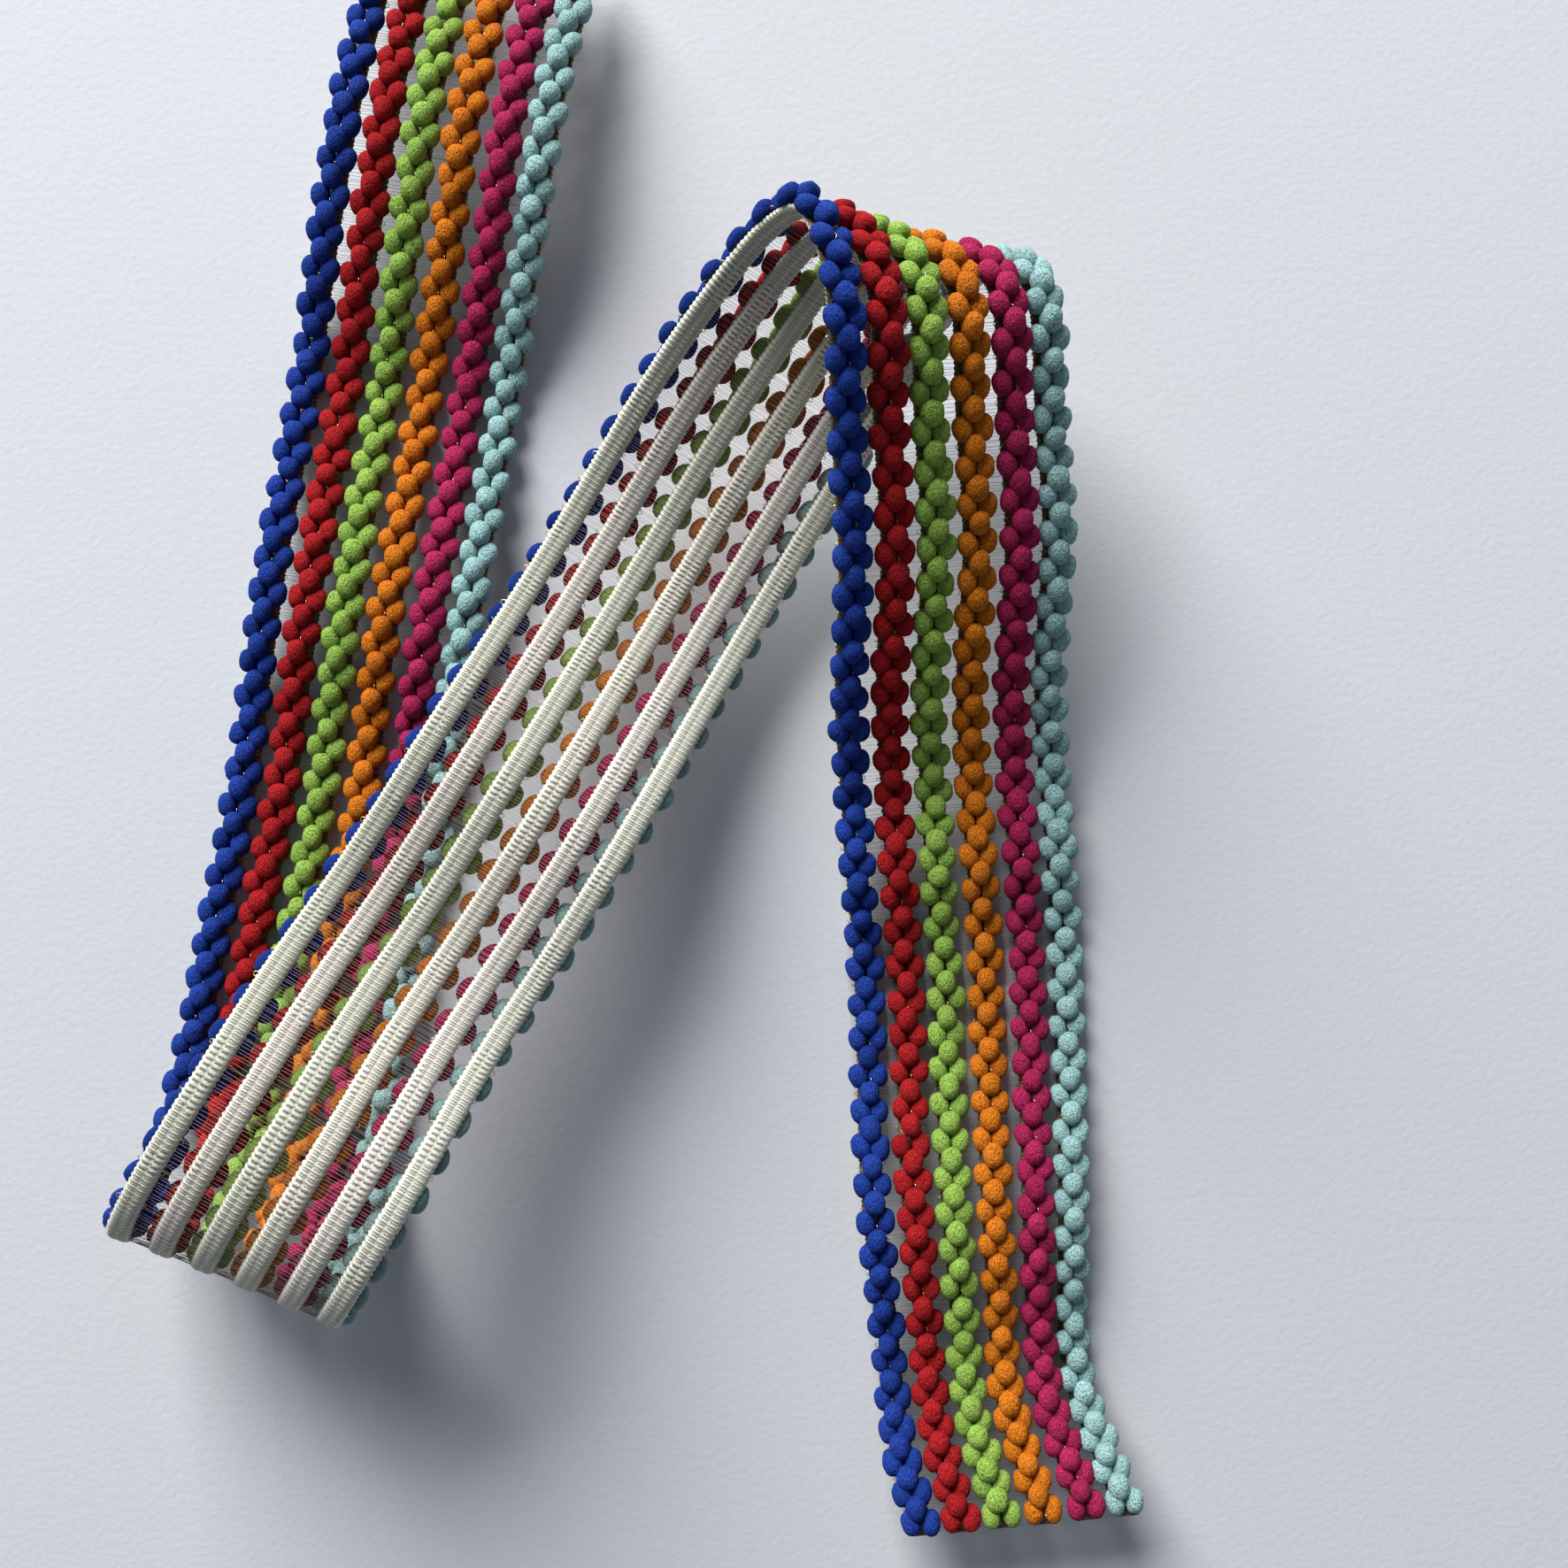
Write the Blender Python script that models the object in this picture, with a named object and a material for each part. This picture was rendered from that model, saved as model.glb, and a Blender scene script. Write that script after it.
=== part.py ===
# Elastic trim with six rows of knit bobbles on a ribbed ground, lying in three legs with two fold loops
import math

import bmesh
import bpy
import numpy as np
from mathutils import Vector

MM = 0.001

# Sizes across the trim, in millimetres
PITCH = 7.4            # from one bobble group to the next along a row
ROW_STEP = 8.42        # from the middle of one row to the next
ROW_HALF = 4.0         # half the width of a bobble row
ROW_HEIGHT = 4.3       # how far a row stands up
ROW_GAP = 0.3          # clear space between the ground and a row
BAND_HALF = 2.4        # half the width of a raised rib on the back
BAND_BEVEL = 0.25      # slope at each side of a rib
WEB_THICK = 1.0        # the ground between two ribs
BAND_THICK = 1.6       # the ground at a rib
HEM = 3.1              # the ground past the middle of the outer ribs
BOBBLE_LEVEL = 2.6     # the level that the path follows, above the ground's face
REST = BOBBLE_LEVEL + BAND_THICK
WIDTH = 5 * ROW_STEP + 2 * HEM
NARROW = 0.02          # width lost for each millimetre of arch

# The path of the trim's middle line. Columns: bobble group, x, y and rise off the table (mm),
# compass angle of the line across the trim (deg), its slope (deg), arch across the trim (mm)
PATH = [
    (-74.0, -101.5, 213.5, 4.5, -10, 4, 0.0),      # cut end of the long flat leg
    (-71.5, -106.4, 194.0, 8.5, -10, 6, 0.0),
    (-69.0, -110.0, 174.5, 12.0, -10, 6, 0.0),
    (-66.5, -113.5, 156.7, 9.5, -10, 4, 0.0),
    (-64.0, -117.2, 139.0, 4.8, -10, 1, 0.0),
    (-61.5, -121.0, 121.5, -0.1, -9, 1, 0.0),
    (-59.5, -123.2, 106.5, 1.2, -9, 1, 0.0),
    (-57.5, -125.3, 91.2, 4.0, -9, 2, 0.0),
    (-55.5, -127.5, 76.5, 5.4, -9, 3, 0.0),
    (-53.5, -130.2, 62.0, 3.6, -9, 3, 0.0),
    (-51.5, -133.0, 47.2, 0.4, -9, 2, 0.0),
    (-50.0, -134.5, 36.0, -0.1, -9, 1, 0.0),
    (-46.0, -140.0, 6.5, -0.15, -9, 0, 0.0),
    (-43.0, -144.0, -15.0, -0.15, -10, 0, 0.0),
    (-41.0, -147.0, -29.5, 0.5, -10, -1, 0.0),     # lower loop, curling up and over
    (-39.5, -148.5, -40.5, 3.0, -11, -4, 0.0),
    (-38.0, -149.5, -49.5, 9.5, -14, -8, 0.0),
    (-36.0, -149.0, -55.0, 22.5, -22, -11, 0.0),
    (-34.0, -144.0, -51.0, 35.5, -30, -7, 0.0),
    (-32.0, -136.5, -40.0, 41.0, -32, -3, 0.0),
    (-30.0, -129.0, -27.5, 40.0, -32, -3, 0.0),
    (-27.0, -119.5, -9.5, 31.0, -32, -5, 0.0),     # middle leg, ribs up
    (-24.0, -108.5, 8.5, 24.0, -32, -6, 0.0),
    (-20.0, -93.0, 33.0, 23.0, -32, -8, 0.0),
    (-16.0, -79.0, 58.0, 13.5, -32, -8, 0.0),
    (-12.0, -64.5, 83.0, 9.5, -32, -10, 0.0),
    (-9.0, -53.0, 101.5, 13.0, -31, -15, 0.0),
    (-5.0, -37.0, 125.0, 20.5, -25, -28, 0.0),
    (-3.5, -30.5, 133.5, 24.5, -21, -34, 0.0),     # upper loop
    (-2.5, -26.0, 138.0, 28.0, -16, -38, 0.0),
    (-1.5, -21.5, 140.0, 33.0, -8, -39, 0.0),
    (-0.5, -17.5, 137.5, 38.5, 2, -36, 0.0),
    (0.5, -14.5, 132.5, 43.0, 9, -30, 0.0),
    (2.0, -12.0, 122.5, 45.0, 12, -23, 0.0),
    (4.0, -11.0, 109.0, 39.5, 11, -19, 0.0),       # top leg, bobbles up
    (8.0, -8.5, 82.0, 28.0, 9, -14, 0.0),
    (12.0, -8.5, 55.5, 14.5, 7, -11, 0.0),
    (14.0, -7.5, 42.3, 7.2, 5, -8, 0.0),
    (15.3, -6.7, 33.5, 4.2, 5, -5, 0.0),
    (16.4, -6.3, 25.8, 4.6, 5, -3, 0.0),           # a low wave
    (17.4, -5.7, 18.5, 4.2, 5, -2, 0.0),
    (18.6, -4.8, 9.5, 1.2, 5, -1, 0.0),
    (19.5, -4.2, 2.7, -0.25, 4, 0, 0.0),           # flat on the table
    (21.0, -3.7, -8.3, -0.35, 4, 0, 0.0),
    (23.0, -3.3, -22.8, 0.4, 4, -1, 0.0),
    (25.0, -3.1, -37.0, 3.4, 4, -4, 0.0),
    (26.6, -2.8, -48.5, 6.0, 4, -6, 0.5),
    (27.8, -2.3, -57.3, 6.6, 4, -6, 1.2),
    (29.2, -1.5, -68.0, 5.6, 4, -6, 2.2),
    (30.7, -0.7, -79.6, 4.2, 5, -4, 3.4),
    (32.0, 0.0, -88.3, 4.8, 5, -3, 3.2),
    (34.0, 2.8, -100.0, 7.2, 6, -2, 1.4),
    (37.0, 8.5, -117.2, 11.0, 5, 0, 0.0),          # frayed cut end, a little off the table
]

# Where the cross-sections go. Columns: from group, to group, step
SECTIONS = [
    (-74.0, -42.0, 2.0),
    (-42.0, -28.0, 0.7),
    (-28.0, -6.0, 2.0),
    (-6.0, 4.0, 0.5),
    (4.0, 19.6, 1.3),
    (19.6, 37.0, 1.45),
]

# The six rows from the outer side of the lower loop. Columns: node name, red, green, blue
ROWS = [
    ("row_blue", 0.010, 0.045, 0.300),
    ("row_red", 0.480, 0.010, 0.015),
    ("row_lime", 0.260, 0.560, 0.070),
    ("row_orange", 0.800, 0.200, 0.010),
    ("row_magenta", 0.480, 0.018, 0.110),
    ("row_aqua", 0.360, 0.680, 0.650),
]
GROUND_COLOUR = (0.740, 0.740, 0.600)


def spline_slopes(knots, values):
    """Second derivatives of a natural cubic spline through each column of values."""
    count = len(knots)
    gaps = np.diff(knots)
    matrix = np.eye(count)
    right = np.zeros_like(values)
    for i in range(1, count - 1):
        matrix[i, i - 1] = gaps[i - 1]
        matrix[i, i] = 2 * (gaps[i - 1] + gaps[i])
        matrix[i, i + 1] = gaps[i]
        rise_after = (values[i + 1] - values[i]) / gaps[i]
        rise_before = (values[i] - values[i - 1]) / gaps[i - 1]
        right[i] = 6 * (rise_after - rise_before)
    return np.linalg.solve(matrix, right)


TABLE = np.array(PATH)
KNOTS = TABLE[:, 0]
VALUES = TABLE[:, 1:]
BENDS = spline_slopes(KNOTS, VALUES)


def path_at(group):
    """Values and their rates of change at one bobble group."""
    i = int(np.clip(np.searchsorted(KNOTS, group) - 1, 0, len(KNOTS) - 2))
    gap = KNOTS[i + 1] - KNOTS[i]
    a = (KNOTS[i + 1] - group) / gap
    b = (group - KNOTS[i]) / gap
    value = a * VALUES[i] + b * VALUES[i + 1]
    value = value + ((a ** 3 - a) * BENDS[i] + (b ** 3 - b) * BENDS[i + 1]) * gap ** 2 / 6
    rate = (VALUES[i + 1] - VALUES[i]) / gap
    rate = rate + ((3 * b ** 2 - 1) * BENDS[i + 1] - (3 * a ** 2 - 1) * BENDS[i]) * gap / 6
    return value, rate


def section_frame(group):
    """Middle point, direction across, face normal and arch at one bobble group."""
    value, rate = path_at(group)
    middle = np.array([value[0], value[1], value[2] + REST])
    turn = math.radians(value[3])
    slope = math.radians(value[4])
    flat = math.cos(slope)
    across = np.array([math.cos(turn) * flat, math.sin(turn) * flat, math.sin(slope)])
    along = rate[:3] - across * np.dot(rate[:3], across)
    along = along / np.linalg.norm(along)
    return middle, across, np.cross(along, across), max(value[5], 0.0)


def place(frame, side, level):
    """A point at a distance to the side and a level above the ground's face."""
    middle, across, normal, arch = frame
    drop = arch * (2 * side / WIDTH) ** 2
    lean = 2 * arch * (2 / WIDTH) ** 2 * side
    local = normal + across * lean
    local = local / np.linalg.norm(local)
    base = middle + across * side * (1 - NARROW * arch) - normal * drop
    point = base + local * (level - BOBBLE_LEVEL)
    point[2] = max(point[2], 0.0)
    return Vector(point) * MM


def ground_outline():
    """The ground's cross-section as (side, level) points, face first, then the ribbed back."""
    edge = 2.5 * ROW_STEP + HEM
    points = [(edge, 0.0)]
    for i in range(5):
        points.append(((2 - i) * ROW_STEP, 0.0))
    points.append((-edge, 0.0))
    points.append((-edge, -WEB_THICK))
    for i in range(6):
        mid = (i - 2.5) * ROW_STEP
        points.append((mid - BAND_HALF - BAND_BEVEL, -WEB_THICK))
        points.append((mid - BAND_HALF, -BAND_THICK))
        points.append((mid + BAND_HALF, -BAND_THICK))
        points.append((mid + BAND_HALF + BAND_BEVEL, -WEB_THICK))
    points.append((edge, -WEB_THICK))
    return points


def row_outline(mid):
    """A row's cross-section, a half oval standing just clear of the ground's face."""
    points = [(mid - ROW_HALF, ROW_GAP), (mid + ROW_HALF, ROW_GAP)]
    for angle in (30, 65, 115, 150):
        side = mid + ROW_HALF * math.cos(math.radians(angle))
        points.append((side, ROW_GAP + ROW_HEIGHT * math.sin(math.radians(angle))))
    return points


def section_groups():
    groups = []
    for start, stop, step in SECTIONS:
        count = int(round((stop - start) / step))
        for i in range(count):
            groups.append(start + (stop - start) * i / count)
    groups.append(SECTIONS[-1][1])
    return groups


def make_material(name, colour):
    material = bpy.data.materials.new(name)
    material.use_nodes = True
    shader = material.node_tree.nodes["Principled BSDF"]
    shader.inputs["Base Color"].default_value = (*colour, 1.0)
    shader.inputs["Roughness"].default_value = 0.9
    return material


def sweep(name, outline, frames, colour):
    """One closed body: the outline carried along the trim, with a flat cap at each end."""
    mesh = bmesh.new()
    rings = []
    for frame in frames:
        rings.append([mesh.verts.new(place(frame, side, level)) for side, level in outline])
    count = len(outline)
    for first, second in zip(rings, rings[1:]):
        for i in range(count):
            j = (i + 1) % count
            mesh.faces.new((first[i], first[j], second[j], second[i]))
    mesh.faces.new(list(reversed(rings[0])))
    mesh.faces.new(rings[-1])
    bmesh.ops.triangulate(mesh, faces=mesh.faces[:], ngon_method="EAR_CLIP")
    bmesh.ops.recalc_face_normals(mesh, faces=mesh.faces[:])
    data = bpy.data.meshes.new(name)
    mesh.to_mesh(data)
    mesh.free()
    data.materials.append(make_material(name, colour))
    body = bpy.data.objects.new(name, data)
    bpy.context.scene.collection.objects.link(body)
    return body


for old in list(bpy.data.objects):
    bpy.data.objects.remove(old, do_unlink=True)

FRAMES = [section_frame(group) for group in section_groups()]
sweep("ground", ground_outline(), FRAMES, GROUND_COLOUR)
for index, (row_name, red, green, blue) in enumerate(ROWS):
    sweep(row_name, row_outline((index - 2.5) * ROW_STEP), FRAMES, (red, green, blue))
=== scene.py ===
import math

import bpy
import numpy as np
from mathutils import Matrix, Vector


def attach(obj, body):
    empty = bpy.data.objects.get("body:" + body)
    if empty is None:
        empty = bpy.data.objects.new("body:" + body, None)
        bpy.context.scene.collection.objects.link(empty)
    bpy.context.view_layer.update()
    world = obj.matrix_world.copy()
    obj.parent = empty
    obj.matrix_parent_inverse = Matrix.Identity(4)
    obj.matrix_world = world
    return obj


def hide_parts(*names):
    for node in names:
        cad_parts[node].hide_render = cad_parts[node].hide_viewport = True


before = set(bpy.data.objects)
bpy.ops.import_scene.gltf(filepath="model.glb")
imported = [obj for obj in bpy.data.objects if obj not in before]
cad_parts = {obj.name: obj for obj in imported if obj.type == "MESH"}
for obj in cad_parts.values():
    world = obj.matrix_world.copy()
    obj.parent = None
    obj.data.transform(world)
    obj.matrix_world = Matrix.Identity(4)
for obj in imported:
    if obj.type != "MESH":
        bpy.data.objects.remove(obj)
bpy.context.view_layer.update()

MM = 0.001
random = np.random.default_rng(7)

# Sizes across the trim, in millimetres, as the CAD has them
PITCH = 7.4            # from one bobble group to the next along a row
ROW_STEP = 8.42        # from the middle of one row to the next
BAND_THICK = 1.6       # the ground at a rib
HEM = 3.1              # the ground past the middle of the outer ribs
BOBBLE_LEVEL = 2.6     # the level that the path follows, above the ground's face
REST = BOBBLE_LEVEL + BAND_THICK
WIDTH = 5 * ROW_STEP + 2 * HEM
NARROW = 0.02          # width lost for each millimetre of arch
FIRST, LAST = -74.0, 36.5  # bobble groups at the two cut ends

# The path of the trim's middle line. Columns: bobble group, x, y and rise off the table (mm),
# compass angle of the line across the trim (deg), its slope (deg), arch across the trim (mm)
PATH = [
    (-74.0, -101.5, 213.5, 4.5, -10, 4, 0.0),      # cut end of the long flat leg
    (-71.5, -106.4, 194.0, 8.5, -10, 6, 0.0),
    (-69.0, -110.0, 174.5, 12.0, -10, 6, 0.0),
    (-66.5, -113.5, 156.7, 9.5, -10, 4, 0.0),
    (-64.0, -117.2, 139.0, 4.8, -10, 1, 0.0),
    (-61.5, -121.0, 121.5, -0.1, -9, 1, 0.0),
    (-59.5, -123.2, 106.5, 1.2, -9, 1, 0.0),
    (-57.5, -125.3, 91.2, 4.0, -9, 2, 0.0),
    (-55.5, -127.5, 76.5, 5.4, -9, 3, 0.0),
    (-53.5, -130.2, 62.0, 3.6, -9, 3, 0.0),
    (-51.5, -133.0, 47.2, 0.4, -9, 2, 0.0),
    (-50.0, -134.5, 36.0, -0.1, -9, 1, 0.0),
    (-46.0, -140.0, 6.5, -0.15, -9, 0, 0.0),
    (-43.0, -144.0, -15.0, -0.15, -10, 0, 0.0),
    (-41.0, -147.0, -29.5, 0.5, -10, -1, 0.0),     # lower loop, curling up and over
    (-39.5, -148.5, -40.5, 3.0, -11, -4, 0.0),
    (-38.0, -149.5, -49.5, 9.5, -14, -8, 0.0),
    (-36.0, -149.0, -55.0, 22.5, -22, -11, 0.0),
    (-34.0, -144.0, -51.0, 35.5, -30, -7, 0.0),
    (-32.0, -136.5, -40.0, 41.0, -32, -3, 0.0),
    (-30.0, -129.0, -27.5, 40.0, -32, -3, 0.0),
    (-27.0, -119.5, -9.5, 31.0, -32, -5, 0.0),     # middle leg, ribs up
    (-24.0, -108.5, 8.5, 24.0, -32, -6, 0.0),
    (-20.0, -93.0, 33.0, 23.0, -32, -8, 0.0),
    (-16.0, -79.0, 58.0, 13.5, -32, -8, 0.0),
    (-12.0, -64.5, 83.0, 9.5, -32, -10, 0.0),
    (-9.0, -53.0, 101.5, 13.0, -31, -15, 0.0),
    (-5.0, -37.0, 125.0, 20.5, -25, -28, 0.0),
    (-3.5, -30.5, 133.5, 24.5, -21, -34, 0.0),     # upper loop
    (-2.5, -26.0, 138.0, 28.0, -16, -38, 0.0),
    (-1.5, -21.5, 140.0, 33.0, -8, -39, 0.0),
    (-0.5, -17.5, 137.5, 38.5, 2, -36, 0.0),
    (0.5, -14.5, 132.5, 43.0, 9, -30, 0.0),
    (2.0, -12.0, 122.5, 45.0, 12, -23, 0.0),
    (4.0, -11.0, 109.0, 39.5, 11, -19, 0.0),       # top leg, bobbles up
    (8.0, -8.5, 82.0, 28.0, 9, -14, 0.0),
    (12.0, -8.5, 55.5, 14.5, 7, -11, 0.0),
    (14.0, -7.5, 42.3, 7.2, 5, -8, 0.0),
    (15.3, -6.7, 33.5, 4.2, 5, -5, 0.0),
    (16.4, -6.3, 25.8, 4.6, 5, -3, 0.0),           # a low wave
    (17.4, -5.7, 18.5, 4.2, 5, -2, 0.0),
    (18.6, -4.8, 9.5, 1.2, 5, -1, 0.0),
    (19.5, -4.2, 2.7, -0.25, 4, 0, 0.0),           # flat on the table
    (21.0, -3.7, -8.3, -0.35, 4, 0, 0.0),
    (23.0, -3.3, -22.8, 0.4, 4, -1, 0.0),
    (25.0, -3.1, -37.0, 3.4, 4, -4, 0.0),
    (26.6, -2.8, -48.5, 6.0, 4, -6, 0.5),
    (27.8, -2.3, -57.3, 6.6, 4, -6, 1.2),
    (29.2, -1.5, -68.0, 5.6, 4, -6, 2.2),
    (30.7, -0.7, -79.6, 4.2, 5, -4, 3.4),
    (32.0, 0.0, -88.3, 4.8, 5, -3, 3.2),
    (34.0, 2.8, -100.0, 7.2, 6, -2, 1.4),
    (37.0, 8.5, -117.2, 11.0, 5, 0, 0.0),          # frayed cut end, a little off the table
]

# The six rows from the outer side of the lower loop. Columns: name, how far its middle is off
# the even spacing (mm), yarn colour, rib tint
ROWS = [
    ("blue", 0.0, (0.008, 0.045, 0.330), (0.70, 0.71, 0.59)),
    ("red", 0.0, (0.400, 0.006, 0.010), (0.76, 0.71, 0.64)),
    ("lime", -0.15, (0.300, 0.500, 0.085), (0.71, 0.73, 0.61)),
    ("orange", 0.0, (0.700, 0.190, 0.006), (0.80, 0.78, 0.67)),
    ("magenta", 0.4, (0.420, 0.014, 0.095), (0.81, 0.77, 0.70)),
    ("aqua", -0.1, (0.350, 0.590, 0.590), (0.76, 0.77, 0.66)),
]

# Bobbles. Columns: side and level of its middle, half length, half width, half height (mm),
# place in the group, taper towards the cut end, lean (deg)
BOBBLES = [
    (0.0, 2.75, 2.6, 2.17, 1.95, -0.5, 0.04, 0),
    (-2.04, 1.75, 2.6, 2.0, 1.85, 0.0, 0.02, 5),
    (2.04, 1.75, 2.6, 2.0, 1.85, 0.0, 0.02, -5),
]
BLUNT = 2.25               # 2 is an ellipsoid, more is blunter
PITCHED = 5                # the end towards the cut end rides up on the next bobble (deg)
AROUND, RINGS = 14, 9      # how finely a bobble is made
FIBRES = 24                # loose fibres that stand off a bobble

COURSE = 1.05              # one knit course of a rib
RIB_PROFILE = [            # side and level across a rib, once round; the last two are on the face
    (-2.32, -0.3), (-1.95, -1.05), (-1.2, -1.32), (-0.35, -1.36), (0.0, -1.22),
    (0.35, -1.36), (1.2, -1.32), (1.95, -1.05), (2.32, -0.3), (2.0, 0.1), (-2.0, 0.1),
]

SLOT_COLUMN = 0.92         # a column of slots, off the middle of its rib

THREAD_STEP = 0.62         # from one cross thread to the next
THREAD_RADIUS = 0.045
THREAD_START = 2.0         # where a thread leaves a rib, off the rib's middle
THREAD_LEVEL = -0.6
GOLD_RADIUS = 0.085
GOLD_SIDE = 2.35           # the gold loops beside the bobbles, off the row's middle

TABLE_LEVEL = 0.0002       # bobbles stay this far above the table (m)

# The light, in metres from the photograph's middle
WINDOW_PLACE = (-0.98, 2.12, 1.20)
WINDOW_SIZE = 1.6
WINDOW_POWER = 135.0
WINDOW_COLOUR = (1.0, 0.985, 0.96)
ROOM_COLOUR = (0.80, 0.88, 1.0, 1)
ROOM_STRENGTH = 0.16

# The photograph's frame
PHOTO_WIDE = 1772
MM_A_PIXEL = 0.185
PHOTO_MIDDLE = (-42.0, 36.5)
CAMERA_HEIGHT = 1777 * MM_A_PIXEL


# The path

def spline_bends(knots, values):
    """Second derivatives of a natural cubic spline through each column of values."""
    count = len(knots)
    gaps = np.diff(knots)
    matrix = np.eye(count)
    right = np.zeros_like(values)
    for i in range(1, count - 1):
        matrix[i, i - 1] = gaps[i - 1]
        matrix[i, i] = 2 * (gaps[i - 1] + gaps[i])
        matrix[i, i + 1] = gaps[i]
        rise_after = (values[i + 1] - values[i]) / gaps[i]
        rise_before = (values[i] - values[i - 1]) / gaps[i - 1]
        right[i] = 6 * (rise_after - rise_before)
    return np.linalg.solve(matrix, right)


TABLE = np.array(PATH)
KNOTS = TABLE[:, 0]
VALUES = TABLE[:, 1:]
BENDS = spline_bends(KNOTS, VALUES)


def row_middle(index):
    return (index - 2.5) * ROW_STEP + ROWS[index][1]


def unit(vectors):
    return vectors / np.linalg.norm(vectors, axis=-1, keepdims=True)


def path_at(groups):
    """Values and their rates of change at an array of bobble groups."""
    i = np.clip(np.searchsorted(KNOTS, groups) - 1, 0, len(KNOTS) - 2)
    gap = (KNOTS[i + 1] - KNOTS[i])[:, None]
    a = (KNOTS[i + 1] - groups)[:, None] / gap
    b = 1 - a
    value = a * VALUES[i] + b * VALUES[i + 1]
    value = value + ((a ** 3 - a) * BENDS[i] + (b ** 3 - b) * BENDS[i + 1]) * gap ** 2 / 6
    rate = (VALUES[i + 1] - VALUES[i]) / gap
    rate = rate + ((3 * b ** 2 - 1) * BENDS[i + 1] - (3 * a ** 2 - 1) * BENDS[i]) * gap / 6
    return value, rate


def trim_at(groups, side, level):
    """Points on the trim in metres, with the directions along, across and out of its face there."""
    given = [np.asarray(x, float) for x in (groups, side, level)]
    groups, side, level = np.broadcast_arrays(*given)
    value, rate = path_at(groups.ravel())
    side = side.ravel()[:, None]
    level = level.ravel()[:, None]
    middle = value[:, :3] + np.array([0, 0, REST])
    turn = np.radians(value[:, 3])
    slope = np.radians(value[:, 4])
    flat = np.cos(slope)
    across = np.stack([np.cos(turn) * flat, np.sin(turn) * flat, np.sin(slope)], 1)
    along = unit(rate[:, :3] - across * (rate[:, :3] * across).sum(1, keepdims=True))
    normal = np.cross(along, across)
    arch = np.maximum(value[:, 5:6], 0)
    drop = arch * (2 * side / WIDTH) ** 2
    lean = 2 * arch * (2 / WIDTH) ** 2 * side
    out = unit(normal + across * lean)
    points = middle + across * side * (1 - NARROW * arch) - normal * drop
    points = points + out * (level - BOBBLE_LEVEL)
    points[:, 2] = np.maximum(points[:, 2], 0.0)
    return points * MM, along, np.cross(out, along), out


# Materials

def new_material(name, colour, roughness):
    material = bpy.data.materials.new(name)
    material.use_nodes = True
    shader = material.node_tree.nodes["Principled BSDF"]
    shader.inputs["Base Color"].default_value = (*colour, 1)
    shader.inputs["Roughness"].default_value = roughness
    return material, material.node_tree.nodes, material.node_tree.links, shader


def noise_node(nodes, links, scale, detail=3.0):
    """Noise through the object: scale is in grains a metre."""
    where = nodes.new("ShaderNodeTexCoord")
    noise = nodes.new("ShaderNodeTexNoise")
    noise.inputs["Scale"].default_value = scale
    noise.inputs["Detail"].default_value = detail
    links.new(where.outputs["Object"], noise.inputs["Vector"])
    return noise.outputs["Fac"]


def math_node(nodes, links, operation, first, second=None, third=None):
    node = nodes.new("ShaderNodeMath")
    node.operation = operation
    for socket, value in zip(node.inputs, (first, second, third)):
        if value is None:
            continue
        if isinstance(value, (int, float)):
            socket.default_value = value
        else:
            links.new(value, socket)
    return node.outputs[0]


def ramp_node(nodes, links, value, none, full):
    """0 where the value is none, 1 where it is full, and straight between the two."""
    ramp = nodes.new("ShaderNodeMapRange")
    ramp.inputs["From Min"].default_value = none
    ramp.inputs["From Max"].default_value = full
    links.new(value, ramp.inputs["Value"])
    return ramp.outputs[0]


def mix_colour(nodes, links, factor, first, second):
    mix = nodes.new("ShaderNodeMix")
    mix.data_type = "RGBA"
    sockets = {s.name: s for s in mix.inputs if s.type == "RGBA"}
    for socket, value in ((sockets["A"], first), (sockets["B"], second)):
        if isinstance(value, tuple):
            socket.default_value = (*value, 1)
        else:
            links.new(value, socket)
    links.new(factor, mix.inputs["Factor"])
    return next(s for s in mix.outputs if s.type == "RGBA")


def add_bump(nodes, links, shader, height, strength, distance):
    bump = nodes.new("ShaderNodeBump")
    bump.inputs["Strength"].default_value = strength
    bump.inputs["Distance"].default_value = distance
    links.new(height, bump.inputs["Height"])
    links.new(bump.outputs["Normal"], shader.inputs["Normal"])


def scaled(colour, by):
    return tuple(min(1.0, c * by) for c in colour)


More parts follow.
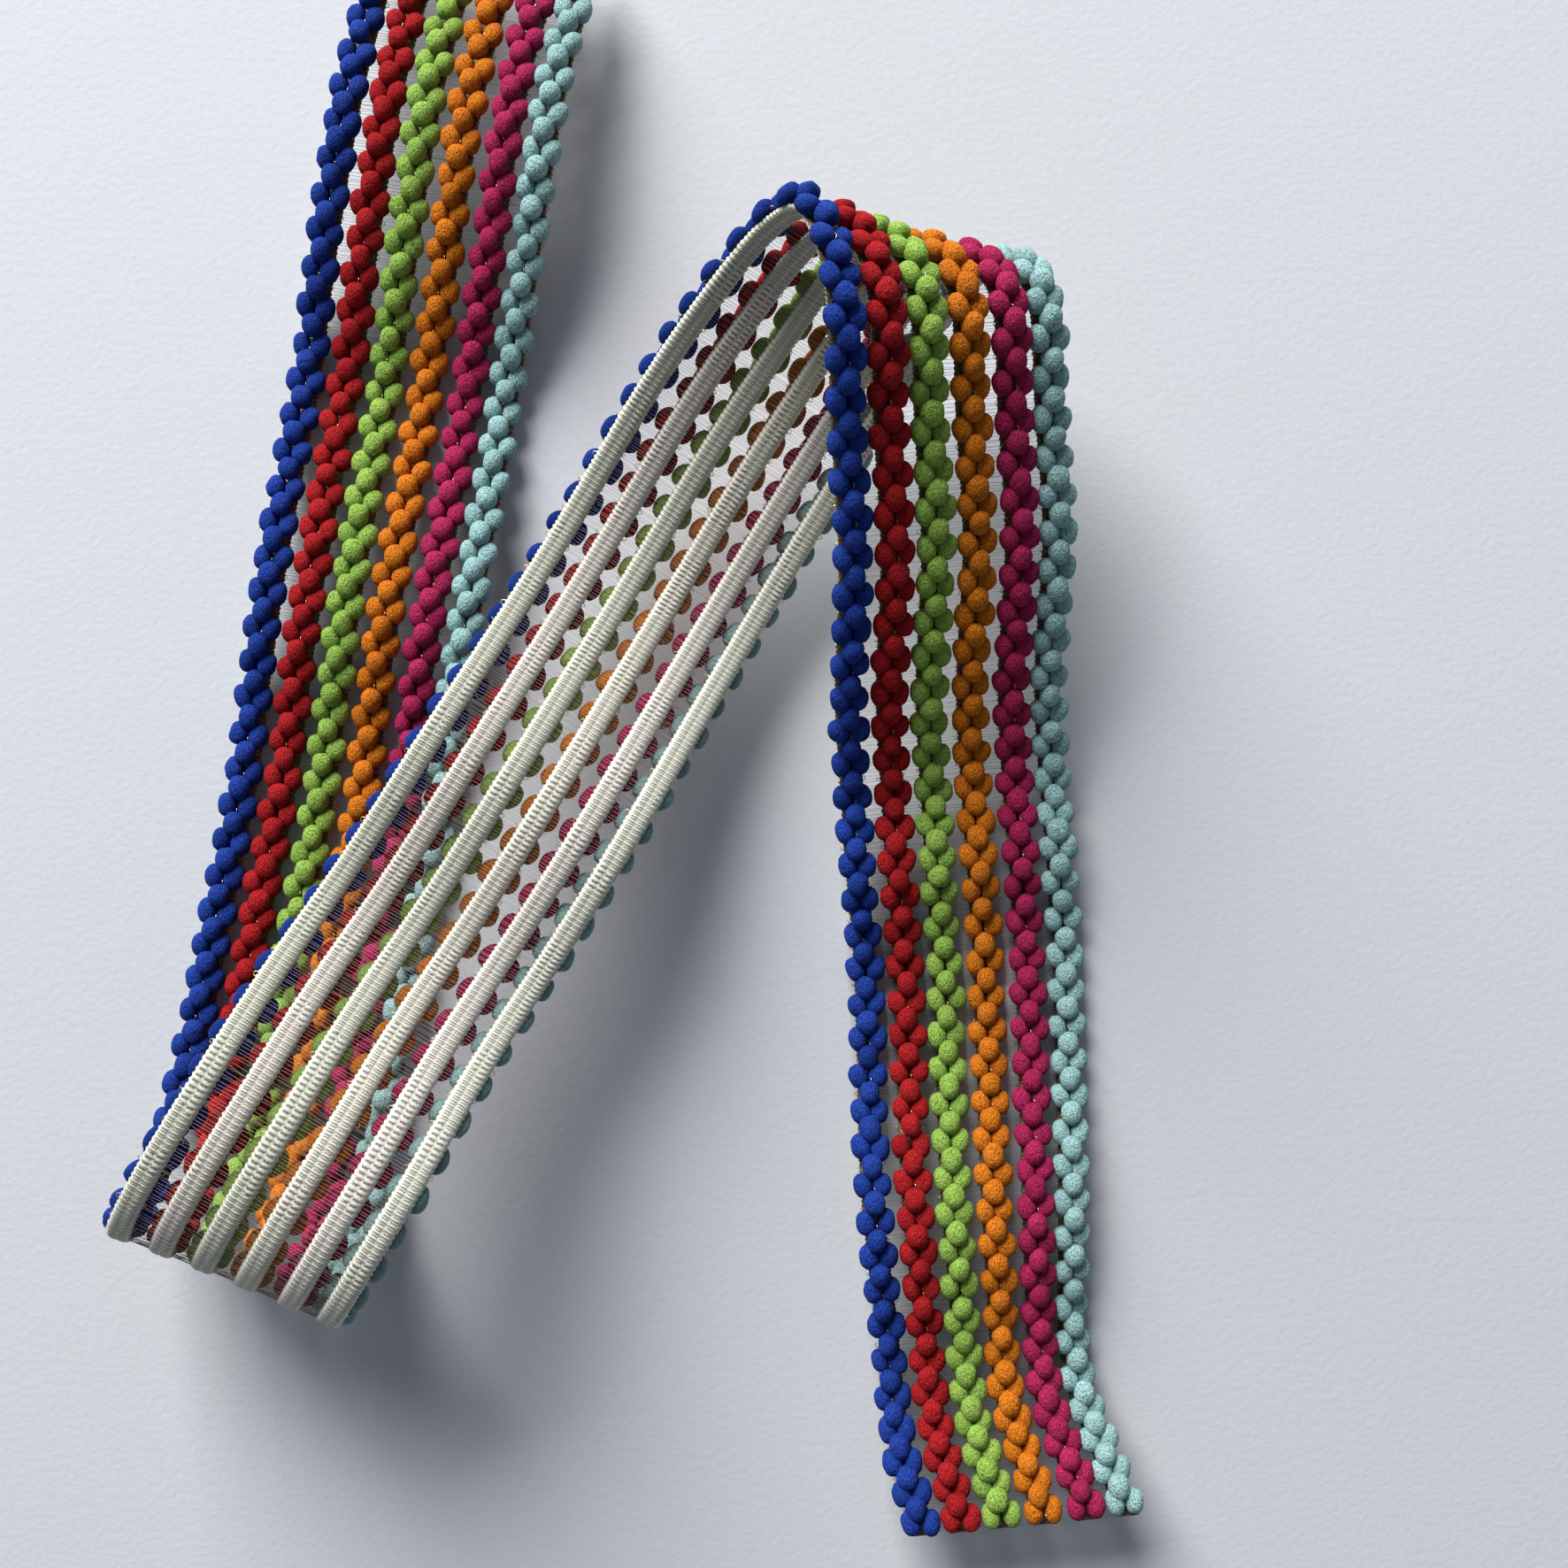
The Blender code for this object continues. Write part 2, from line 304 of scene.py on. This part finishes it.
def yarn_material(name, colour):
    """Brushed yarn: matt, with short fibres that run along each bobble, and painted shade that
    darkens each bobble's underside.
    """
    material, nodes, links, shader = new_material(name, colour, 0.92)
    fleck = noise_node(nodes, links, 2600, 4.0)
    speckle = ramp_node(nodes, links, fleck, 0.36, 0.68)
    speckled = mix_colour(nodes, links, speckle, scaled(colour, 0.38), scaled(colour, 1.5))

    fibre_map = nodes.new("ShaderNodeUVMap")
    fibre_map.uv_map = "fibres"
    stretch = nodes.new("ShaderNodeMapping")
    stretch.inputs["Scale"].default_value = (26, 3.5, 1)
    links.new(fibre_map.outputs["UV"], stretch.inputs["Vector"])
    fibres = nodes.new("ShaderNodeTexNoise")
    fibres.inputs["Scale"].default_value = 1.0
    fibres.inputs["Detail"].default_value = 2.0
    links.new(stretch.outputs["Vector"], fibres.inputs["Vector"])
    streak = ramp_node(nodes, links, fibres.outputs["Fac"], 0.40, 0.64)
    streak = math_node(nodes, links, "MULTIPLY", streak, 0.55)
    pale = tuple(min(1.0, c * 1.35 + 0.035) for c in colour)
    streaked = mix_colour(nodes, links, streak, speckled, pale)

    painted_shade = nodes.new("ShaderNodeAttribute")       # painted shade: low on a bobble's underside, where the yarn colour darkens to 0.45 of itself
    painted_shade.attribute_name = "yarn"
    painted_shade_colour = mix_colour(nodes, links, painted_shade.outputs["Fac"], scaled(colour, 0.45), streaked)
    links.new(painted_shade_colour, shader.inputs["Base Color"])
    height = math_node(nodes, links, "MULTIPLY_ADD", fleck, 0.8, fibres.outputs["Fac"])
    add_bump(nodes, links, shader, height, 1.0, 0.0005)
    shader.inputs["Sheen Weight"].default_value = 0.25
    shader.inputs["Sheen Roughness"].default_value = 0.5
    shader.inputs["Sheen Tint"].default_value = (*scaled(colour, 1.6), 1)
    shader.inputs["Specular IOR Level"].default_value = 0.15
    return material


def rib_material(name, colour):
    """Ladder knit: two columns of slots between bright chains, one or two to a course, darkened by
    painted shade.
    """
    material, nodes, links, shader = new_material(name, colour, 0.75)
    knit = nodes.new("ShaderNodeUVMap")            # course along the rib, mm off its middle
    knit.uv_map = "knit"
    apart = nodes.new("ShaderNodeSeparateXYZ")
    links.new(knit.outputs["UV"], apart.inputs[0])
    wobble = noise_node(nodes, links, 900, 2.0)
    course = math_node(nodes, links, "MULTIPLY_ADD", wobble, 0.30, apart.outputs["X"])
    one_turn = math_node(nodes, links, "MULTIPLY", course, 2 * math.pi)
    two_turns = math_node(nodes, links, "MULTIPLY", course, 4 * math.pi)
    coarse_wave = math_node(nodes, links, "SINE", one_turn)
    fine_wave = math_node(nodes, links, "SINE", two_turns)
    zone = noise_node(nodes, links, 90, 0.0)
    fine = math_node(nodes, links, "GREATER_THAN", zone, 0.42)
    wave = math_node(nodes, links, "SUBTRACT", fine_wave, coarse_wave)
    wave = math_node(nodes, links, "MULTIPLY", wave, fine)
    wave = math_node(nodes, links, "ADD", wave, coarse_wave)
    slot_along = ramp_node(nodes, links, wave, 0.25, 0.75)
    side = math_node(nodes, links, "ABSOLUTE", apart.outputs["Y"])
    off_column = math_node(nodes, links, "SUBTRACT", side, SLOT_COLUMN)
    off_column = math_node(nodes, links, "ABSOLUTE", off_column)
    slot_across = ramp_node(nodes, links, off_column, 0.72, 0.55)
    slot = math_node(nodes, links, "MULTIPLY", slot_along, slot_across)

    fleck = noise_node(nodes, links, 3200, 3.0)
    base = mix_colour(nodes, links, fleck, scaled(colour, 0.78), scaled(colour, 1.16))
    # painted shade: the recessed slots darken towards 0.26 of the rib tint
    painted_slot_shade = math_node(nodes, links, "MULTIPLY", slot, 0.8)
    slotted = mix_colour(nodes, links, painted_slot_shade, base, scaled(colour, 0.26))
    links.new(slotted, shader.inputs["Base Color"])
    loops = math_node(nodes, links, "MULTIPLY", coarse_wave, -0.35)
    height = math_node(nodes, links, "SUBTRACT", loops, slot)
    height = math_node(nodes, links, "MULTIPLY_ADD", fleck, 0.6, height)
    add_bump(nodes, links, shader, height, 0.8, 0.0003)
    shader.inputs["Sheen Weight"].default_value = 0.1
    shader.inputs["Specular IOR Level"].default_value = 0.25
    return material


def lurex_material():
    """The face side of the ground: brown yarn with flecks of metallic thread. Its dark brown is
    partly its own colour and partly painted shade, for where it lies under the bobbles.
    """
    material, nodes, links, shader = new_material("lurex_ground", (0.16, 0.11, 0.06), 0.6)
    fleck = noise_node(nodes, links, 2200, 2.0)
    bright = ramp_node(nodes, links, fleck, 0.55, 0.66)
    mixed = mix_colour(nodes, links, bright, (0.13, 0.09, 0.055), (0.62, 0.42, 0.15))
    links.new(mixed, shader.inputs["Base Color"])
    links.new(bright, shader.inputs["Metallic"])
    add_bump(nodes, links, shader, fleck, 1.0, 0.0003)
    return material


def thread_material(name, colour, roughness, metallic=0.0):
    material, nodes, links, shader = new_material(name, colour, roughness)
    fleck = noise_node(nodes, links, 1500, 2.0)
    mixed = mix_colour(nodes, links, fleck, scaled(colour, 0.75), scaled(colour, 1.2))
    links.new(mixed, shader.inputs["Base Color"])
    shader.inputs["Metallic"].default_value = metallic
    return material


def paper_material():
    material, nodes, links, shader = new_material("paper", (0.70, 0.73, 0.78), 0.9)
    grain = noise_node(nodes, links, 700, 5.0)
    mottle = mix_colour(nodes, links, grain, (0.69, 0.72, 0.77), (0.72, 0.75, 0.80))
    links.new(mottle, shader.inputs["Base Color"])
    add_bump(nodes, links, shader, grain, 0.25, 0.0003)
    return material


# Meshes

def mesh_piece(name, points, faces, materials, slots=None, uvs=None, shades=None):
    """One mesh object from arrays: points (n, 3), faces (m, 3 or 4), and one value per point."""
    mesh = bpy.data.meshes.new(name)
    mesh.vertices.add(len(points))
    mesh.vertices.foreach_set("co", np.asarray(points, np.float32).ravel())
    corners = faces.shape[1]
    mesh.loops.add(faces.size)
    mesh.loops.foreach_set("vertex_index", faces.astype(np.int32).ravel())
    mesh.polygons.add(len(faces))
    mesh.polygons.foreach_set("loop_start", np.arange(len(faces), dtype=np.int32) * corners)
    if slots is not None:
        mesh.polygons.foreach_set("material_index", slots.astype(np.int32))
    mesh.polygons.foreach_set("use_smooth", np.ones(len(faces), bool))
    if uvs is not None:
        uv_name, uv_values = uvs
        layer = mesh.uv_layers.new(name=uv_name)
        layer.data.foreach_set("uv", uv_values[faces.ravel()].astype(np.float32).ravel())
    if shades is not None:
        attribute = mesh.attributes.new("yarn", "FLOAT", "POINT")
        attribute.data.foreach_set("value", shades.astype(np.float32))
    mesh.update(calc_edges=True)
    mesh.validate()
    for material in materials:
        mesh.materials.append(material)
    piece = bpy.data.objects.new(name, mesh)
    bpy.context.scene.collection.objects.link(piece)
    return piece


def puff_template():
    """A ball with its poles on the long axis: points (along, across, out), faces, fibre map."""
    points = [(-1.0, 0.0, 0.0)]
    for ring in range(1, RINGS + 1):
        tilt = math.pi * ring / (RINGS + 1)
        for k in range(AROUND):
            turn = 2 * math.pi * k / AROUND
            girth = math.sin(tilt)
            points.append((-math.cos(tilt), girth * math.cos(turn), girth * math.sin(turn)))
    points.append((1.0, 0.0, 0.0))
    faces = []
    last = len(points) - 1
    for k in range(AROUND):
        after = (k + 1) % AROUND
        faces.append((0, 1 + after, 1 + k))
        for ring in range(RINGS - 1):
            low = 1 + ring * AROUND
            high = low + AROUND
            faces.append((low + k, low + after, high + after))
            faces.append((low + k, high + after, high + k))
        base = 1 + (RINGS - 1) * AROUND
        faces.append((base + k, base + after, last))
    points = np.array(points)
    points = points / (np.abs(points) ** BLUNT).sum(1, keepdims=True) ** (1 / BLUNT)
    fold = np.abs(np.arctan2(points[:, 2], points[:, 1])) / math.pi
    return points, np.array(faces), np.stack([fold, points[:, 0]], 1)


PUFF, PUFF_FACES, PUFF_MAP = puff_template()


def fibre_blades(middle, frames, sizes):
    """Short loose fibres on each bobble, as thin triangles: three points each."""
    count = len(middle)
    way = unit(random.normal(0, 1, (count, FIBRES, 3)))
    way[..., 2] = np.abs(way[..., 2]) * 0.9 - 0.15
    root = way / (np.abs(way) ** BLUNT).sum(-1, keepdims=True) ** (1 / BLUNT)
    root = root * sizes[:, None, :]
    aside = unit(np.cross(way, random.normal(0, 1, way.shape)))
    reach = random.uniform(0.25, 0.6, (count, FIBRES, 1))
    tip = root + unit(way + 0.54 * random.normal(0, 1, way.shape)) * reach
    corners = np.stack([root * 0.97 - aside * 0.035, root * 0.97 + aside * 0.035, tip], 2)
    placed = np.einsum("ckpi,cij->ckpj", corners, frames)
    placed = middle[:, None, None, :] + placed * MM
    placed[..., 2] = np.maximum(placed[..., 2], TABLE_LEVEL)
    return placed.reshape(-1, 3)


def bobble_row(index):
    """All the bobbles of one row as one mesh."""
    name, _, colour, _ = ROWS[index]
    mid = row_middle(index)
    groups, kinds = [], []
    for g in np.arange(math.ceil(FIRST) + 1, math.floor(LAST) + 1):
        for kind, bobble in enumerate(BOBBLES):
            if g + bobble[5] > FIRST + 0.4:
                groups.append(g + bobble[5])
                kinds.append(kind)
    groups = np.array(groups)
    table = np.array(BOBBLES)[kinds]
    count = len(groups)
    jitter = random.normal(0, 1, (count, 8))
    groups = groups + 0.018 * jitter[:, 0]
    side = mid + table[:, 0] + 0.10 * jitter[:, 1]
    level = table[:, 1] + 0.08 * jitter[:, 2]
    middle, along, across, out = trim_at(groups, side, level)
    lean = np.radians(table[:, 7] + 5 * jitter[:, 3])[:, None]
    long_axis = along * np.cos(lean) + across * np.sin(lean)
    wide_axis = across * np.cos(lean) - along * np.sin(lean)
    pitched = np.radians(PITCHED + 3 * jitter[:, 7])[:, None]
    long_axis, out = (long_axis * np.cos(pitched) + out * np.sin(pitched),
                      out * np.cos(pitched) - long_axis * np.sin(pitched))
    length = table[:, 2] * (1 + 0.035 * jitter[:, 4])
    width = table[:, 3] * (1 + 0.035 * jitter[:, 5])
    height = table[:, 4] * (1 + 0.035 * jitter[:, 6])

    lumps = np.ones((count, len(PUFF)))
    for wave in range(4):
        ways = random.normal(0, 1.3 + wave, (count, 3))
        phase = random.uniform(0, 2 * math.pi, count)
        lumps += 0.022 * np.sin(ways @ PUFF.T + phase[:, None])
    a = PUFF[None, :, 0]
    girth = lumps * (1 - table[:, 6:7] * a)
    shape_along = a * length[:, None] * lumps
    shape_wide = PUFF[None, :, 1] * width[:, None] * girth
    shape_out = PUFF[None, :, 2] * height[:, None] * girth
    points = (middle[:, None, :]
              + shape_along[..., None] * long_axis[:, None, :] * MM
              + shape_wide[..., None] * wide_axis[:, None, :] * MM
              + shape_out[..., None] * out[:, None, :] * MM)
    points[..., 2] = np.maximum(points[..., 2], TABLE_LEVEL)
    faces = PUFF_FACES[None] + np.arange(count)[:, None, None] * len(PUFF)
    frames = np.stack([long_axis, wide_axis, out], 1)
    sizes = np.stack([length, width, height], 1)
    blades = fibre_blades(middle, frames, sizes)
    # painted shade: 1 on a bobble's top, down to about 0.24 on its underside, for the crevices
    # between bobbles
    painted_shade = np.clip(0.62 + 0.38 * PUFF[None, :, 2] + 0.12 * jitter[:, 7:8], 0, 1)
    uv = PUFF_MAP[None] + np.stack([np.zeros(count), 7.3 * np.arange(count)], 1)[:, None, :]
    blade_faces = np.arange(len(blades)).reshape(-1, 3) + points.size // 3
    piece = mesh_piece(
        f"bobbles_{name}", np.concatenate([points.reshape(-1, 3), blades]),
        np.concatenate([faces.reshape(-1, 3), blade_faces]),
        [yarn_material(f"yarn_{name}", colour)],
        uvs=("fibres", np.concatenate([uv.reshape(-1, 2), np.zeros((len(blades), 2))])),
        shades=np.concatenate([painted_shade.ravel(), np.ones(len(blades))]))
    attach(piece, "root")
    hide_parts(f"row_{name}")
    return piece


def strip_faces(rows, columns, offset):
    """Quads round an open tube of that many rows of points, each a ring of columns points."""
    i = np.arange(rows - 1)[:, None] * columns
    j = np.arange(columns)[None, :]
    after = (j + 1) % columns
    quads = np.stack([i + j, i + after, i + columns + after, i + columns + j], -1).reshape(-1, 4)
    return quads + offset


def make_ribs():
    """The six ladder-knit ribs as one mesh, with scalloped edges."""
    profile = np.array(RIB_PROFILE)
    columns = len(profile)
    steps = int(round((LAST - FIRST) * PITCH / COURSE * 2))
    groups = np.linspace(FIRST, LAST, steps + 1)
    course = np.arange(steps + 1) / 2
    points, faces, slots, maps = [], [], [], []
    for index in range(6):
        mid = row_middle(index)
        scallop = np.where(np.arange(steps + 1) % 2 == 0, 1, -1)
        swell = 1 + 0.05 * scallop + 0.015 * random.normal(0, 1, steps + 1)
        side = profile[None, :, 0] * swell[:, None]
        level = np.broadcast_to(profile[None, :, 1], side.shape)
        where = trim_at(np.repeat(groups, columns), (mid + side).ravel(), level.ravel())[0]
        offset = index * (steps + 1) * columns
        tube = strip_faces(steps + 1, columns, offset)
        points.append(where)
        faces.append(tube)
        on_face = np.arange(len(tube)) % columns >= columns - 3
        slots.append(np.where(on_face, len(ROWS), index))
        maps.append(np.stack([np.repeat(course, columns), side.ravel()], 1))
    faces = np.concatenate(faces)
    triangles = np.concatenate([faces[:, [0, 1, 2]], faces[:, [0, 2, 3]]])
    slots = np.tile(np.concatenate(slots), 2)
    materials = [rib_material(f"rib_{name}", tint) for name, _, _, tint in ROWS]
    materials.append(lurex_material())
    piece = mesh_piece(
        "ribs", np.concatenate(points), triangles, materials, slots=slots,
        uvs=("knit", np.concatenate(maps)))
    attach(piece, "root")
    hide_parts("ground")
    return piece


def thin_threads(name, paths, radius, material):
    """Three-sided threads as one mesh. Each path is an array of points in metres."""
    points, faces = [], []
    start = 0
    for path in paths:
        count = len(path)
        way = unit(np.gradient(path, axis=0) if count > 2 else np.repeat(path[1:] - path[:1], 2, 0))
        upright = np.abs(way[:, 2:3]) >= 0.8
        helper = np.where(upright, np.array([[1.0, 0, 0]]), np.array([[0, 0, 1.0]]))
        one = unit(np.cross(way, helper))
        two = np.cross(way, one)
        ring = [path + radius * MM * (math.cos(t) * one + math.sin(t) * two)
                for t in (math.pi / 2, math.pi * 7 / 6, math.pi * 11 / 6)]
        points.append(np.stack(ring, 1).reshape(-1, 3))
        tube = strip_faces(count, 3, start)
        faces.append(np.concatenate([tube[:, [0, 1, 2]], tube[:, [0, 2, 3]]]))
        start += count * 3
    piece = mesh_piece(name, np.concatenate(points), np.concatenate(faces), [material])
    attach(piece, "root")
    return piece


def make_weft():
    """The sheer cross threads that hold the ribs together."""
    count = int((LAST - FIRST) * PITCH / THREAD_STEP)
    paths = []
    for gap in range(5):
        low = row_middle(gap) + THREAD_START
        high = row_middle(gap + 1) - THREAD_START
        groups = np.linspace(FIRST + 0.05, LAST - 0.05, count) + random.normal(0, 0.012, count)
        groups = np.clip(groups, FIRST, LAST)
        skew = random.normal(0, 0.02, count)
        level = THREAD_LEVEL + 0.1 * random.normal(0, 1, (2, count))
        first = trim_at(groups, low, level[0])[0]
        last = trim_at(groups + skew, high, level[1])[0]
        paths.extend(np.stack([first, last], 1))
    sheer = thread_material("weft_thread", (0.50, 0.40, 0.36), 0.5)
    return thin_threads("weft", paths, THREAD_RADIUS, sheer)


def make_gold():
    """Small glinting loops of metallic thread beside the bobbles and between each pair."""
    paths = []
    for index in range(6):
        mid = row_middle(index)
        for g in np.arange(math.ceil(FIRST) + 1, math.floor(LAST) + 1):
            for sign in (-1, 1):
                if random.random() < 0.7:
                    turn = np.linspace(0, math.pi, 5) + random.normal(0, 0.2)
                    reach = random.uniform(0.25, 0.55)
                    groups = g - 0.5 + random.normal(0, 0.12) + np.cos(turn) * reach / PITCH
                    side = mid + sign * (GOLD_SIDE + np.sin(turn) * reach * 1.4)
                    level = random.uniform(-0.5, 0.6) + np.sin(turn) * 0.2
                    paths.append(trim_at(groups, side, level)[0])
            if random.random() < 0.55:
                turn = np.linspace(0, math.pi, 5)
                groups = g + 0.12 + np.cos(turn) * 0.06 + random.normal(0, 0.02)
                side = mid + random.normal(0, 0.15) + np.sin(turn) * 0.3
                level = 2.7 + np.sin(turn) * 0.35
                paths.append(trim_at(groups, side, level)[0])
    metal = thread_material("gold_thread", (1.0, 0.78, 0.42), 0.35, 1.0)
    return thin_threads("gold_loops", paths, GOLD_RADIUS, metal)


rows = [bobble_row(index) for index in range(6)]
ribs = make_ribs()
weft = make_weft()
gold = make_gold()


# The table, the light and the camera

def make_table(half=2.0):
    corners = [(-half, -half, 0), (half, -half, 0), (half, half, 0), (-half, half, 0)]
    points = np.array(corners, float)
    table = mesh_piece("table", points, np.array([(0, 1, 2, 3)]), [paper_material()])


def add_window():
    data = bpy.data.lights.new("window", "AREA")
    data.energy = WINDOW_POWER
    data.size = WINDOW_SIZE
    data.color = WINDOW_COLOUR
    light = bpy.data.objects.new("window", data)
    light.location = CENTRE + Vector(WINDOW_PLACE)
    light.rotation_euler = (-Vector(WINDOW_PLACE)).to_track_quat("-Z", "Y").to_euler()
    bpy.context.scene.collection.objects.link(light)


def add_room_light():
    world = bpy.data.worlds.new("room")
    world.use_nodes = True
    background = world.node_tree.nodes["Background"]
    background.inputs["Color"].default_value = ROOM_COLOUR
    background.inputs["Strength"].default_value = ROOM_STRENGTH
    bpy.context.scene.world = world


CENTRE = Vector((PHOTO_MIDDLE[0] * MM, PHOTO_MIDDLE[1] * MM, 0.0))
make_table()
add_window()
add_room_light()

camera_data = bpy.data.cameras.new("camera")
camera_data.sensor_width = 36.0
camera_data.lens = camera_data.sensor_width * CAMERA_HEIGHT / (PHOTO_WIDE * MM_A_PIXEL)
camera_data.clip_start = 0.01
camera = bpy.data.objects.new("camera", camera_data)
camera.location = (CENTRE.x, CENTRE.y, (CAMERA_HEIGHT + REST) * MM)
bpy.context.scene.collection.objects.link(camera)
bpy.context.scene.camera = camera
bpy.context.scene.view_settings.view_transform = "Standard"
